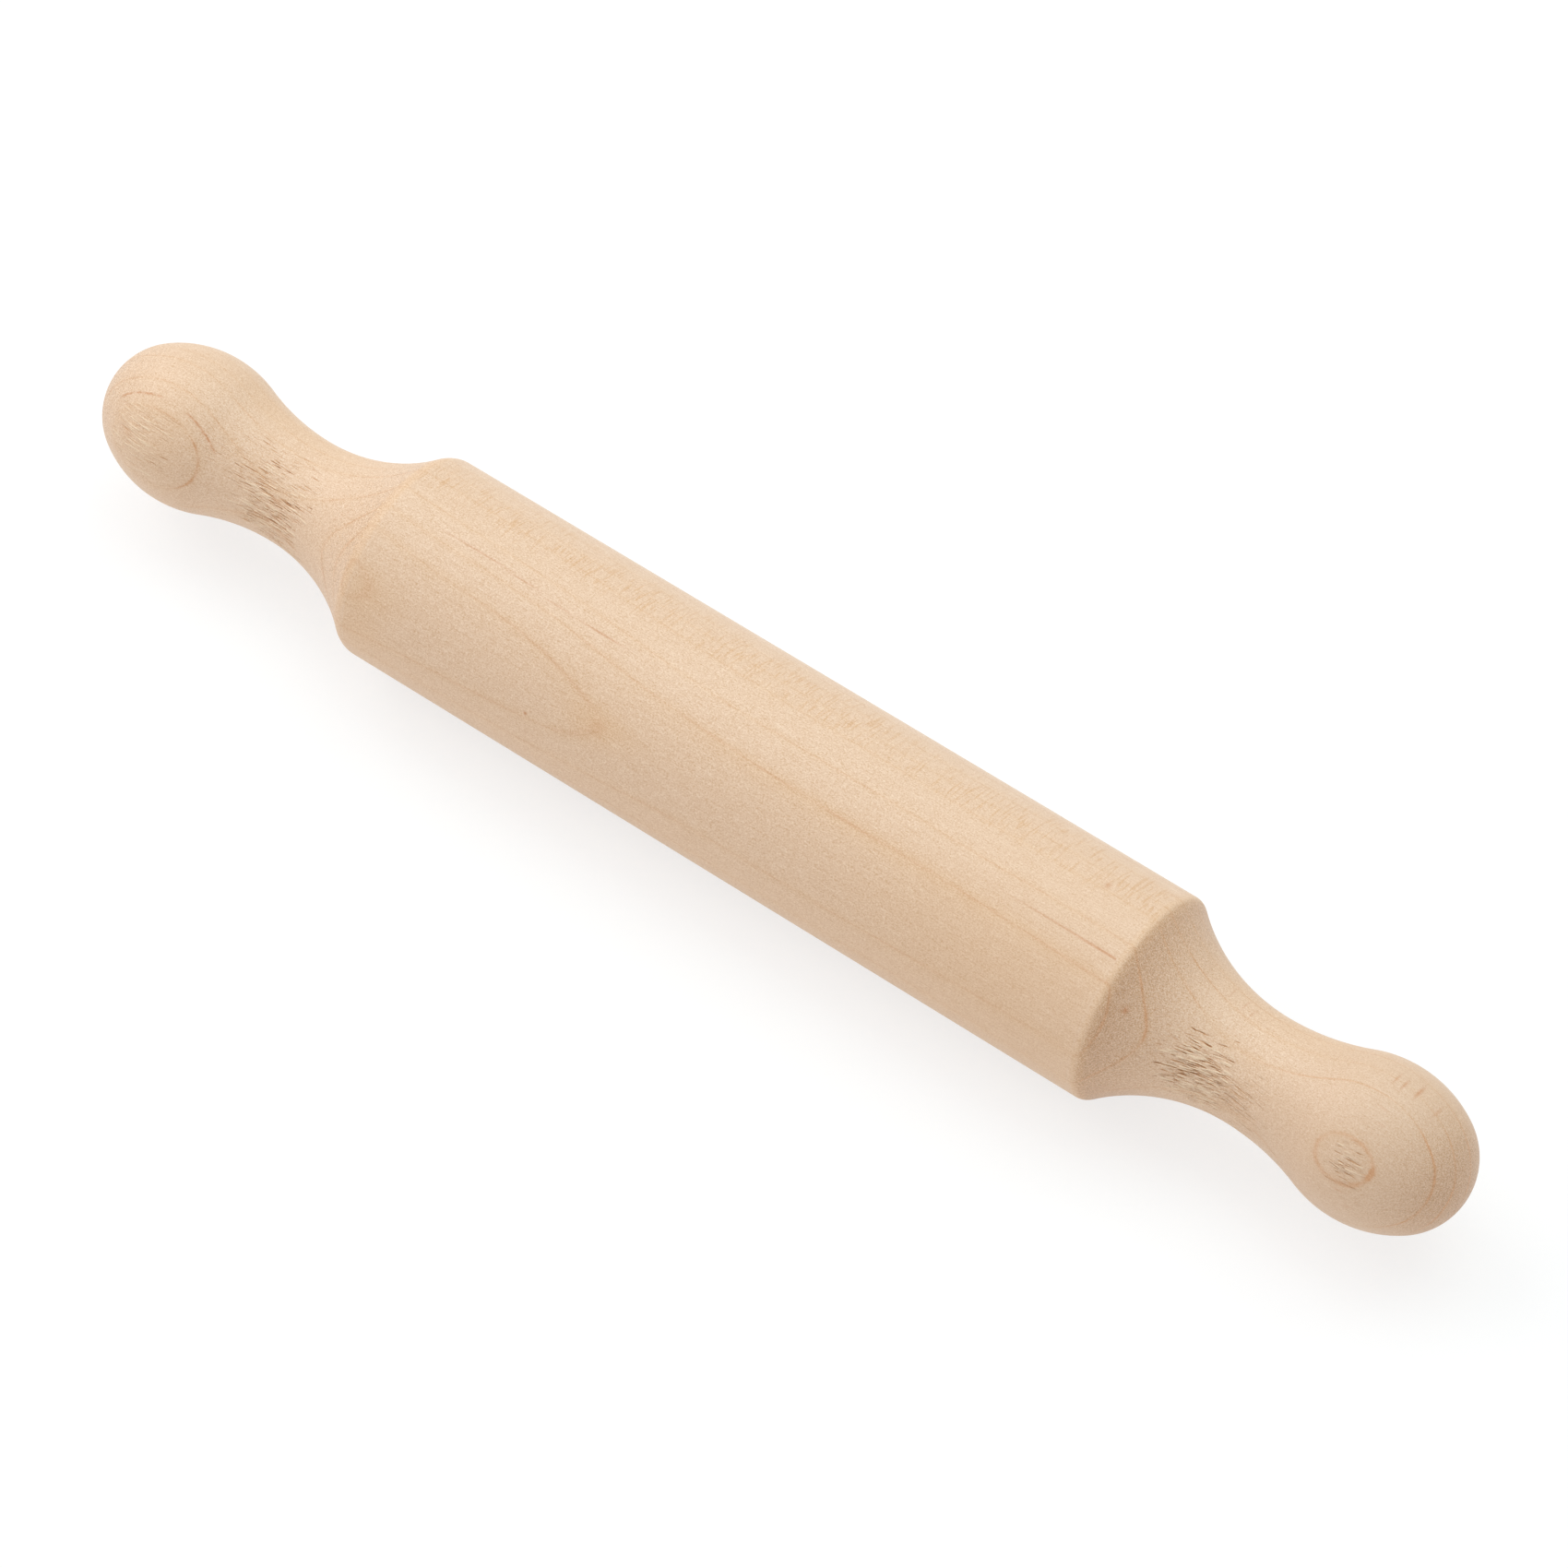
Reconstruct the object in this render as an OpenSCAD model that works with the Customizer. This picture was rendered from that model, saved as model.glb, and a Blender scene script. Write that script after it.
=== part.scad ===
// Small one-piece wooden rolling pin with a straight barrel and a turned handle at each end.
// The pin lies along X with the centre of the barrel at the origin. +Z is up.
// The real pin is one turned billet. It is split here where the turner's work changes:
// the barrel is the true cylinder, and each handle is everything beyond the cylinder's end.
// Lengths along the pin inside a handle are counted from the end of the cylinder.

/* [Whole pin] */
// Length from the tip of one handle to the tip of the other
overall_len = 220; // [200:1:400]

/* [Barrel] */
// Diameter of the straight barrel that rolls the dough
barrel_d = 30; // [27:0.5:36]

/* [Shoulder] */
// Radius of the rounded edge where the barrel ends
shoulder_r = 3; // [1:0.5:6]
// Angle at which the shoulder leaves the barrel, in degrees
shoulder_slope = 41; // [35:1:60]

/* [Neck] */
// Diameter at the narrowest place, where the fingers go round
neck_d = 15.6; // [13:0.2:18]
// Radius of the long hollow that opens from the neck towards the knob
throat_r = 34; // [24:1:50]

/* [Knob] */
// Largest diameter of the knob
knob_d = 22.2; // [19:0.2:25]
// Radius of the swell along the knob's side
flank_r = 17; // [14:1:30]
// Radius of the ball end, as a share of the knob's largest radius
nose_share = 0.9; // [0.6:0.05:0.95]

/* [Hidden] */
$fn = 180;

WOOD = [0.88, 0.77, 0.65];

barrel_r = barrel_d / 2;
neck_r = neck_d / 2;
knob_r = knob_d / 2;
nose_r = knob_r * nose_share;

// Where the shoulder's round hands over to the cove
shoulder_end = shoulder_r * sin(shoulder_slope);
shoulder_end_r = barrel_r - shoulder_r * (1 - cos(shoulder_slope));

// The cove sweeps from the shoulder down to the neck and ends square to the axis there
cove_r = (shoulder_end_r - neck_r) / (1 - cos(shoulder_slope));
neck_at = shoulder_end + cove_r * sin(shoulder_slope);

// The throat rises from the neck and meets the knob's side at one common tangent
throat_turn = acos(1 - (knob_r - neck_r) / (throat_r + flank_r));
throat_end = neck_at + throat_r * sin(throat_turn);
throat_end_r = neck_r + throat_r * (1 - cos(throat_turn));
flank_at = throat_end + flank_r * sin(throat_turn);

// The knob's side runs into its ball end at one common tangent
flank_turn = acos((flank_r - knob_r) / (flank_r - nose_r));
nose_at = flank_at + (flank_r - nose_r) * sin(flank_turn);
nose_start = flank_at + flank_r * sin(flank_turn);

// A hair added to three of the arcs, so that neighbours cross where they would only touch
touch = 0.001;

handle_len = nose_at + nose_r + touch;
cylinder_len = overall_len - 2 * handle_len;

echo(cylinder_len = cylinder_len, handle_len = handle_len, neck_at = neck_at, cove_r = cove_r);

// The part of a round that lies between two places along the pin.
// Its centre is at_r from the axis and at along the pin.
module round_slice(at, at_r, r, from, to) {
    intersection() {
        translate([at_r, at])
            circle(r = r);
        translate([0, from])
            square([barrel_d, to - from]);
    }
}

// The rounded edge of the barrel, as a bead about the shoulder's centre
module shoulder_round() {
    round_slice(0, barrel_r - shoulder_r, shoulder_r, 0, handle_len);
}

// The wood between the shoulder and the knob, before the cove and the throat are cut
module waist_blank() {
    polygon([
        [0, 0],
        [shoulder_end_r, 0],
        [shoulder_end_r, neck_at],
        [throat_end_r, neck_at],
        [throat_end_r, throat_end],
        [0, throat_end]
    ]);
}

// The knob's swelling side and its ball end
module knob_rounds() {
    round_slice(flank_at, knob_r - flank_r, flank_r, 0, nose_start);
    round_slice(nose_at, 0, nose_r + touch, 0, overall_len);
}

// What the gouge takes out between the shoulder and the neck
module cove_cut() {
    round_slice(neck_at, neck_r + cove_r, cove_r + touch, 0, neck_at);
}

// What the gouge takes out between the neck and the knob
module throat_cut() {
    round_slice(neck_at, neck_r + throat_r, throat_r + touch, neck_at, overall_len);
}

// Half of a handle's section, from the end of the barrel to the tip
module handle_profile() {
    difference() {
        union() {
            shoulder_round();
            waist_blank();
            knob_rounds();
        }
        cove_cut();
        throat_cut();
    }
}

// A handle that starts at the end of the barrel and points along +X
module handle() {
    translate([cylinder_len / 2, 0, 0])
        rotate([0, 90, 0])
            rotate_extrude()
                handle_profile();
}

module barrel() {
    color(WOOD)
        rotate([0, 90, 0])
            cylinder(h = cylinder_len, d = barrel_d, center = true);
}

module right_handle() {
    color(WOOD)
        handle();
}

module left_handle() {
    color(WOOD)
        mirror([1, 0, 0])
            handle();
}

barrel();
left_handle();
right_handle();
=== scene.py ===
"""The looks of a small wooden rolling pin, turned in one piece from a pale straight-grained billet.

The pin lies along X with the centre of its barrel at the origin, and +Z is up.
Lengths named here are in millimetres, apart from the studio's.
A place around the pin is an angle in degrees: 0 is straight up, and negative angles
lean to the front, towards -Y.
A place along a handle is counted from the end of the barrel's true cylinder.
"""

import math
from collections import namedtuple

import bpy
import numpy as np
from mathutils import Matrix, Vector


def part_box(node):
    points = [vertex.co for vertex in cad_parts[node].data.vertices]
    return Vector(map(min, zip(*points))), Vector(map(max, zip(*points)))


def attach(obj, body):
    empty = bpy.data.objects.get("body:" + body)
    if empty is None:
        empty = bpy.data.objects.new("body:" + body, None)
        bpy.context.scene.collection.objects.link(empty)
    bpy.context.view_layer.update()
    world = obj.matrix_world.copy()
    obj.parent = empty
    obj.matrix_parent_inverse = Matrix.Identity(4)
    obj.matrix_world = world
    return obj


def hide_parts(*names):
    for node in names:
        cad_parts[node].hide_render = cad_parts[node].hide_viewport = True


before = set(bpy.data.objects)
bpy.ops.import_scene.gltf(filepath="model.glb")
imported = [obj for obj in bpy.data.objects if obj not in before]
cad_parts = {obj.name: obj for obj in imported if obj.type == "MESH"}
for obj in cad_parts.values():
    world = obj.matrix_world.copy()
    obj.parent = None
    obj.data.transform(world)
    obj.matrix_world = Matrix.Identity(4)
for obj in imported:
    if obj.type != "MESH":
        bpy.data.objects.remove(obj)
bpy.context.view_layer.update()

MM = 0.001

# The turned profile, from the barrel's end to the tip of the knob
SHOULDER_R = 3
SHOULDER_SLOPE = math.radians(41)
NECK_R = 7.8
THROAT_R = 34
KNOB_R = 11.1
FLANK_R = 17
NOSE_SHARE = 0.9

# The way the billet was sawn: the rings stand square to this lean, measured from straight up
BARK_LEAN = -53


# Shape

# Steps around the handles in degrees: where the grain is torn, and elsewhere
TORN_STEP = 0.42
PLAIN_STEP = 2.4

# Rings of points along the barrel, and the step around it in degrees
BARREL_RINGS = 121
BARREL_STEP = 1

# Edges that bend by more than this stay sharp in the shading
SHARP_EDGE = math.radians(70)

Arc = namedtuple("Arc", "centre_along centre_r radius lean_start lean_end step")


def barrel_size():
    """Radius and half length of the true cylinder, from the barrel's part in model.glb."""
    low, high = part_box("barrel")
    return high.z / MM, high.x / MM


def handle_arcs(barrel_r, shoulder_r):
    """The arcs that the gouge followed, each from one common tangent to the next.

    A negative radius is a hollow. The lean is the angle between the surface's
    normal and the radius, and it is positive where the surface faces the tip.
    The shoulder's round may be sharper than the drawn one: it then starts later and
    ends sooner, and the cove's start is joined to it by a straight slope.
    The step is the longest stretch from one station to the next.
    """
    nose_r = KNOB_R * NOSE_SHARE
    shoulder_start = (SHOULDER_R - shoulder_r) * math.tan(SHOULDER_SLOPE / 2)
    shoulder_end_r = barrel_r - SHOULDER_R * (1 - math.cos(SHOULDER_SLOPE))
    cove_r = (shoulder_end_r - NECK_R) / (1 - math.cos(SHOULDER_SLOPE))
    neck_at = (SHOULDER_R + cove_r) * math.sin(SHOULDER_SLOPE)
    throat_turn = math.acos(1 - (KNOB_R - NECK_R) / (THROAT_R + FLANK_R))
    flank_at = neck_at + (THROAT_R + FLANK_R) * math.sin(throat_turn)
    flank_turn = math.acos((FLANK_R - KNOB_R) / (FLANK_R - nose_r))
    nose_at = flank_at + (FLANK_R - nose_r) * math.sin(flank_turn)
    return [
        Arc(shoulder_start, barrel_r - shoulder_r, shoulder_r, 0, SHOULDER_SLOPE, 0.12),
        Arc(neck_at, NECK_R + cove_r, -cove_r, SHOULDER_SLOPE, 0, 0.25),
        Arc(neck_at, NECK_R + THROAT_R, -THROAT_R, 0, -throat_turn, 0.3),
        Arc(flank_at, KNOB_R - FLANK_R, FLANK_R, -throat_turn, flank_turn, 0.3),
        Arc(nose_at, 0, nose_r, flank_turn, math.pi / 2, 0.4),
    ]


def handle_profile(barrel_r, shoulder_r):
    """Stations down a handle as rows of along, radius and lean. The last one is the tip."""
    rows = [(0, barrel_r, 0)]
    for number, arc in enumerate(handle_arcs(barrel_r, shoulder_r)):
        sweep = arc.lean_end - arc.lean_start
        count = math.ceil(abs(arc.radius * sweep) / arc.step)
        for step in range(1, count + 1):
            share = step / count
            if number == 0:
                # The shoulder starts with short steps, so that it leaves the barrel without a crease
                share = share ** 2
            lean = arc.lean_start + sweep * share
            along = arc.centre_along + arc.radius * math.sin(lean)
            radius = arc.centre_r + arc.radius * math.cos(lean)
            rows.append((along, radius, lean))
    return np.array(rows)


def angles_around(fine_from, fine_to, fine_step, coarse_step):
    """Angles round the pin, in degrees, close together over one stretch and wider elsewhere."""
    fine = math.ceil((fine_to - fine_from) / fine_step)
    coarse = math.ceil((360 - fine_to + fine_from) / coarse_step)
    first = np.linspace(fine_from, fine_to, fine, endpoint=False)
    rest = np.linspace(fine_to, fine_from + 360, coarse, endpoint=False)
    return np.concatenate([first, rest])


def lathe_grid(along, radius, around):
    """Points of a turned surface, as a grid of stations by angles."""
    turn = np.radians(around)[None, :]
    x = np.broadcast_to(along[:, None], (len(along), len(around)))
    y = radius[:, None] * np.sin(turn)
    z = radius[:, None] * np.cos(turn)
    return np.stack([x, y, z], axis=-1)


def closed_mesh(name, grid, start, end):
    """A closed mesh from a grid of points that runs towards +X, with one point at either end."""
    rings, count = grid.shape[:2]
    points = [start] + [tuple(p) for p in grid.reshape(-1, 3)] + [end]
    first = np.arange(count)
    after = (first + 1) % count
    faces = [(0, 1 + a, 1 + b) for a, b in zip(first, after)]
    for ring in range(rings - 1):
        here = 1 + ring * count
        there = here + count
        faces += [(here + a, there + a, there + b, here + b) for a, b in zip(first, after)]
    last = 1 + (rings - 1) * count
    tip = len(points) - 1
    faces += [(tip, last + b, last + a) for a, b in zip(first, after)]
    mesh = bpy.data.meshes.new(name)
    mesh.from_pydata([[c * MM for c in p] for p in points], [], faces)
    mesh.shade_smooth()
    mesh.set_sharp_from_angle(angle=SHARP_EDGE)
    return mesh


def store_mask(mesh, name, grid_values):
    """Keeps one value for each point of the grid on the mesh. The two end points get none."""
    values = np.zeros(len(mesh.vertices))
    values[1:-1] = grid_values.ravel()
    mask = mesh.attributes.new(name, "FLOAT", "POINT")
    mask.data.foreach_set("value", values)


def place(mesh, node):
    """Puts a mesh in the scene in place of its CAD node."""
    piece = bpy.data.objects.new(mesh.name, mesh)
    bpy.context.scene.collection.objects.link(piece)
    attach(piece, "root")
    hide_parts(node)
    return piece


# Torn grain

# Where the gouge ran against the grain it pulled fibres out and left others standing.
# Along is counted from the end of the barrel, and around is the angle about the pin.
# A tear with a negative depth is a raised fibre. The slant is how far fibres swing around
# the pin, for each millimetre along it.
Tear = namedtuple("Tear", "along around length width depth")
Loose = namedtuple("Loose", "count along around length width height slant")

# The tears that catch the eye
LEFT_TEARS = [
    Tear(20.6, -68, 2.1, 0.18, 0.18),
    Tear(22.1, -76, 1.4, 0.14, 0.17),
    Tear(20.5, -74, 1.7, 0.18, 0.21),
    Tear(18.6, -73, 3.8, 0.19, 0.22),
    Tear(18.8, -64, 2.5, 0.16, 0.18),
    Tear(17.4, -66, 1.6, 0.16, 0.18),
    Tear(18.5, -54, 1.7, 0.14, 0.17),
    Tear(17.4, -54, 1.3, 0.14, 0.17),
    Tear(16.7, -59, 2.6, 0.14, 0.16),
    Tear(21.6, -82, 1.3, 0.16, 0.17),
    Tear(20.8, -87, 1.3, 0.18, 0.18),
    Tear(16, -71, 1.3, 0.21, 0.21),
    Tear(17, -40, 1.6, 0.13, 0.08),
    Tear(15.4, -40, 1.1, 0.13, 0.08),
    Tear(13.2, -38, 1.7, 0.13, 0.11),
    Tear(15.6, -4, 1.4, 0.13, 0.10),
    Tear(21.7, -40, 0.9, 0.14, 0.11),
    Tear(20.9, -16, 1.3, 0.13, 0.10),
    Tear(20.1, -20, 1.3, 0.13, 0.10),
    Tear(15.1, -12, 2.3, 0.13, 0.10),
    Tear(19.5, -48, 1.3, 0.13, 0.10),
    Tear(17.4, 2, 2.6, 0.13, 0.09),
    Tear(16.1, -27, 2.7, 0.13, 0.09),
    Tear(21.2, -44, 2.0, 0.13, 0.10),
    Tear(19.9, -98, 2.1, 0.16, 0.17),
]
RIGHT_TEARS = [
    Tear(12.4, -27, 2.1, 0.18, 0.14),
    Tear(12.3, -36, 2.1, 0.18, 0.14),
    Tear(14, -33, 2.1, 0.26, 0.19),
    Tear(13.5, -41, 1.2, 0.18, 0.12),
    Tear(12.4, -46, 1.7, 0.24, 0.17),
    Tear(11.3, -54, 1.3, 0.20, 0.14),
    Tear(15.3, -43, 1.6, 0.20, 0.15),
    Tear(14.7, -48, 1.2, 0.22, 0.15),
    Tear(14.1, -55, 2.0, 0.24, 0.19),
    Tear(11.3, -65, 1.4, 0.22, 0.15),
    Tear(13.2, -64, 2.1, 0.26, 0.20),
    Tear(14.3, -62, 1.4, 0.22, 0.19),
    Tear(9.8, -66, 1.2, 0.18, 0.13),
    Tear(12.2, -70, 1.0, 0.22, 0.15),
    Tear(12.3, -76, 0.9, 0.28, 0.19),
    Tear(11.7, -81, 1.2, 0.22, 0.15),
    Tear(9.7, -80, 0.7, 0.20, 0.12),
    Tear(17.1, -17, 1.3, 0.14, 0.09),
    Tear(16.3, -35, 2.0, 0.14, 0.12),
    Tear(17.1, -49, 1.2, 0.18, 0.13),
    Tear(16.1, -68, 1.3, 0.18, 0.14),
    Tear(15, -78, 0.9, 0.20, 0.14),
    Tear(22.2, -34, 1.0, 0.14, 0.09),
    Tear(18.2, -58, 2.5, 0.13, 0.06),
    Tear(21, -60, 4.9, 0.13, 0.06),
    Tear(18, -75, 4.7, 0.13, 0.06),
    Tear(20.8, -74, 4.2, 0.13, 0.06),
    Tear(38.6, -53, 1.7, 0.18, 0.10),
    Tear(39.4, -49, 1.3, 0.14, 0.09),
    Tear(39, -58, 1.6, 0.16, 0.09),
    Tear(39.6, -66, 2.3, 0.14, 0.09),
]

# Patches of lesser ones, scattered by chance between these limits.
# A negative height is a slit and a positive one a raised fibre.
LEFT_LOOSE = [
    Loose(130, (12.5, 24), (-108, -32), (1.4, 3.8), (0.12, 0.15), (-0.14, -0.04), 0),
    Loose(150, (12.5, 25), (-110, -20), (1.0, 3.2), (0.14, 0.26), (0.03, 0.08), 0),
    Loose(210, (12, 28), (-92, 10), (1.2, 3.6), (0.12, 0.15), (-0.08, -0.03), 0),
    Loose(80, (22, 35), (-90, 20), (0.8, 2.4), (0.12, 0.18), (-0.05, -0.02), 0),
    Loose(90, (34, 45), (-92, -32), (2.0, 5.0), (0.13, 0.18), (-0.065, -0.03), 0),
    Loose(110, (34, 45), (-92, -32), (2.0, 4.5), (0.14, 0.22), (0.03, 0.06), 0),
]
RIGHT_LOOSE = [
    Loose(215, (9.5, 19), (-105, -22), (0.8, 2.4), (0.12, 0.19), (-0.14, -0.05), 0.12),
    Loose(210, (9, 20), (-105, -25), (0.9, 2.4), (0.15, 0.28), (0.03, 0.09), 0.12),
    Loose(100, (16, 27), (-125, -35), (1.8, 4.5), (0.12, 0.18), (-0.06, -0.02), -0.1),
    Loose(60, (15.5, 24), (-88, -30), (2.5, 6.0), (0.12, 0.16), (-0.05, -0.02), -0.16),
    Loose(50, (34, 43), (-85, -25), (0.8, 2.4), (0.12, 0.20), (-0.06, -0.02), 0),
    Loose(40, (35.5, 41.5), (-68, -40), (0.9, 2.2), (0.13, 0.19), (-0.10, -0.03), 0),
    Loose(34, (35.5, 41.5), (-68, -40), (0.9, 2.2), (0.14, 0.22), (0.03, 0.07), 0),
    Loose(80, (6, 12), (-105, -20), (0.5, 1.3), (0.12, 0.20), (-0.06, -0.02), 0),
]

# The form of one fibre: how steeply its blunt and its thin end rise over its length, the angle
# in radians that its sway swings through, and the most that it sways, as a share of its width
BLUNT_RISE = 7
THIN_RISE = 1.6
SWAY_ANGLE = 4
MOST_SWAY = 0.6

# The lip beside a slit: where it stands and how wide it is, in half widths of the slit,
# and its height as a share of the slit's depth
LIP_AT = 1.5
LIP_SPREAD = 0.5
LIP_SHARE = 0.3

# The torn surface stays between these heights over the turned one
DEEPEST = -0.3
HIGHEST = 0.12


def raise_fibre(rise, along, radius, turn, fibre, slant, rng):
    """Adds one fibre's relief: blunt at one end, running out at the other. It sways a little aside."""
    blunt_end = rng.choice([-1, 1])
    sway = rng.uniform(-MOST_SWAY, MOST_SWAY)
    run = (along - fibre.along) / fibre.length
    near = np.abs(run[:, 0]) < 0.5
    if not near.any():
        return
    run = run[near]
    aside = (turn - math.radians(fibre.around) + math.pi) % (2 * math.pi) - math.pi
    across = radius[near] * aside - slant * (along[near] - fibre.along)
    across = across - sway * fibre.width * np.sin(run * SWAY_ANGLE)
    across = across / (fibre.width / 2)
    from_blunt = 0.5 + run * blunt_end
    ends = np.clip(from_blunt * BLUNT_RISE, 0, 1) * np.clip((1 - from_blunt) * THIN_RISE, 0, 1)
    height = -fibre.depth
    rise[near] += height * ends * np.clip(1 - across ** 2, 0, 1)
    if height < 0:
        lip = np.exp(-((np.abs(across) - LIP_AT) / LIP_SPREAD) ** 2)
        rise[near] -= LIP_SHARE * height * ends * lip


def scattered_fibre(patch, rng):
    """One fibre of a patch, most likely near the patch's middle."""
    along = rng.triangular(patch.along[0], sum(patch.along) / 2, patch.along[1])
    around = rng.triangular(patch.around[0], sum(patch.around) / 2, patch.around[1])
    height = rng.uniform(*patch.height)
    length = rng.uniform(*patch.length)
    width = rng.uniform(*patch.width)
    return Tear(along, around, length, width, -height)


def torn_relief(handle, profile, around):
    """How far the torn surface stands above the turned one, in millimetres over the grid."""
    rng = np.random.default_rng(handle.seed)
    along = profile[:, 0][:, None]
    radius = profile[:, 1][:, None]
    turn = np.radians(around)[None, :]
    rise = np.zeros((len(profile), len(around)))
    for patch in handle.loose:
        for _ in range(patch.count):
            fibre = scattered_fibre(patch, rng)
            raise_fibre(rise, along, radius, turn, fibre, patch.slant, rng)
    for tear in handle.tears:
        raise_fibre(rise, along, radius, turn, tear, handle.slant, rng)
    return np.clip(rise, DEEPEST, HIGHEST)


# Side is +1 at the right end of the pin and -1 at the left. Fine is the stretch of angles
# around the pin that has small faces, because the grain is torn there.
Handle = namedtuple("Handle", "name side shoulder_r tears slant loose fine seed")

LEFT_HANDLE = Handle(
    name="left_handle_wood", side=-1, shoulder_r=SHOULDER_R, tears=LEFT_TEARS, slant=0,
    loose=LEFT_LOOSE, fine=(-115, 30), seed=11,
)
# The right shoulder is crisper than the left one
RIGHT_HANDLE = Handle(
    name="right_handle_wood", side=1, shoulder_r=1.6, tears=RIGHT_TEARS, slant=0.12,
    loose=RIGHT_LOOSE, fine=(-128, -12), seed=7,
)


def make_handle(handle):
    """One turned handle, with its torn grain."""
    barrel_r, half_barrel = barrel_size()
    side = handle.side
    profile = handle_profile(barrel_r, handle.shoulder_r)
    around = angles_around(*handle.fine, TORN_STEP, PLAIN_STEP)
    rise = torn_relief(handle, profile, around)
    lean = profile[:, 2][:, None]
    grid = lathe_grid(profile[:, 0], profile[:, 1], around)
    turn = np.radians(around)[None, :]
    grid[..., 0] += rise * np.sin(lean)
    grid[..., 1] += rise * np.cos(lean) * np.sin(turn)
    grid[..., 2] += rise * np.cos(lean) * np.cos(turn)
    grid[..., 0] = side * (grid[..., 0] + half_barrel)
    joint = (side * half_barrel, 0, 0)
    tip = (side * (half_barrel + profile[-1, 0]), 0, 0)
    # The last station is the tip itself, so it is the end point and not a ring
    grid = grid[:-1]
    rise = rise[:-1]
    if side < 0:
        grid = grid[::-1]
        rise = rise[::-1]
        mesh = closed_mesh(handle.name, grid, tip, joint)
    else:
        mesh = closed_mesh(handle.name, grid, joint, tip)
    store_mask(mesh, "rise", rise)
    return mesh


def make_barrel():
    """The true cylinder between the two handles."""
    barrel_r, half_barrel = barrel_size()
    along = np.linspace(-half_barrel, half_barrel, BARREL_RINGS)
    radius = np.full(len(along), barrel_r)
    around = angles_around(-180, 0, BARREL_STEP, BARREL_STEP)
    grid = lathe_grid(along, radius, around)
    return closed_mesh("barrel_wood", grid, (-half_barrel, 0, 0), (half_barrel, 0, 0))


# Words for building node trees

# A smooth step: as a value goes from low to high, the step goes from start to end
Ramp = namedtuple("Ramp", "low high start end", defaults=(0.0, 1.0))

FLOAT = "NodeSocketFloat"
VECTOR = "NodeSocketVector"


class Tree:
    """A node tree, with a short word for each kind of node that the wood needs."""

    def __init__(self, tree):
        self.tree = tree

    def add(self, kind, **settings):
        node = self.tree.nodes.new(kind)
        for name, value in settings.items():
            setattr(node, name, value)
        return node

    def feed(self, socket, value):
        """Links an output to an input, or sets the input where the value is a plain one."""
        if isinstance(value, bpy.types.NodeSocket):
            self.tree.links.new(value, socket)
        else:
            socket.default_value = value

    def math(self, operation, *values):
        node = self.add("ShaderNodeMath", operation=operation)
        for socket, value in zip(node.inputs, values):
            self.feed(socket, value)
        return node.outputs["Value"]

    def vector(self, operation, *values):
        node = self.add("ShaderNodeVectorMath", operation=operation)
        for socket, value in zip(node.inputs, values):
            self.feed(socket, value)
        return node.outputs["Vector"]

    def dot(self, first, second):
        node = self.add("ShaderNodeVectorMath", operation="DOT_PRODUCT")
        self.feed(node.inputs[0], first)
        self.feed(node.inputs[1], second)
        return node.outputs["Value"]

    def noise(self, where, pace, detail=1.0, roughness=0.5):
        """Noise from 0 to 1 that changes at its own pace in each direction."""
        node = self.add("ShaderNodeTexNoise")
        self.feed(node.inputs["Vector"], self.vector("MULTIPLY", where, pace))
        node.inputs["Scale"].default_value = 1
        node.inputs["Detail"].default_value = detail
        node.inputs["Roughness"].default_value = roughness
        return node.outputs["Fac"]

    def curve(self, along, marks, low, high):
        """A value between low and high that follows given marks along the pin."""
        first, last = marks[0][0], marks[-1][0]
        node = self.add("ShaderNodeFloatCurve")
        points = node.mapping.curves[0].points
        spots = [((at - first) / (last - first), (value - low) / (high - low)) for at, value in marks]
        points[0].location = spots[0]
        points[1].location = spots[-1]
        for spot in spots[1:-1]:
            points.new(*spot)
        node.mapping.update()
        share = self.math("DIVIDE", self.math("SUBTRACT", along, first), last - first)
        self.feed(node.inputs["Value"], share)
        return self.math("MULTIPLY_ADD", node.outputs["Value"], high - low, low)

    def smooth(self, value, ramp):
        """A smooth step over one ramp."""
        node = self.add("ShaderNodeMapRange", interpolation_type="SMOOTHSTEP")
        self.feed(node.inputs["Value"], value)
        self.feed(node.inputs["From Min"], ramp.low)
        self.feed(node.inputs["From Max"], ramp.high)
        self.feed(node.inputs["To Min"], ramp.start)
        self.feed(node.inputs["To Max"], ramp.end)
        return node.outputs["Result"]

    def split(self, value):
        node = self.add("ShaderNodeSeparateXYZ")
        self.feed(node.inputs["Vector"], value)
        return node.outputs["X"], node.outputs["Y"], node.outputs["Z"]

    def mix(self, share, first, second):
        node = self.add("ShaderNodeMix", data_type="RGBA")
        sockets = {socket.identifier: socket for socket in node.inputs}
        self.feed(sockets["Factor_Float"], share)
        self.feed(sockets["A_Color"], first)
        self.feed(sockets["B_Color"], second)
        return next(s for s in node.outputs if s.identifier == "Result_Color")

    def use(self, group, **inputs):
        """Places a group and returns its outputs by name."""
        node = self.add("ShaderNodeGroup", node_tree=group)
        for name, value in inputs.items():
            self.feed(node.inputs[name], value)
        return node.outputs


def new_group(name, inputs, outputs):
    """An empty shader node group with named sockets, and its input sockets and output node."""
    group = bpy.data.node_groups.new(name, "ShaderNodeTree")
    for socket, kind in inputs.items():
        group.interface.new_socket(socket, in_out="INPUT", socket_type=kind)
    for socket, kind in outputs.items():
        group.interface.new_socket(socket, in_out="OUTPUT", socket_type=kind)
    tree = Tree(group)
    given = tree.add("NodeGroupInput").outputs
    result = tree.add("NodeGroupOutput").inputs
    return tree, given, result


# The wood's figure, as node groups. Place is a point in millimetres inside the billet:
# X along the grain, Y towards the bark across the layers, Z along the layers.

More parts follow.
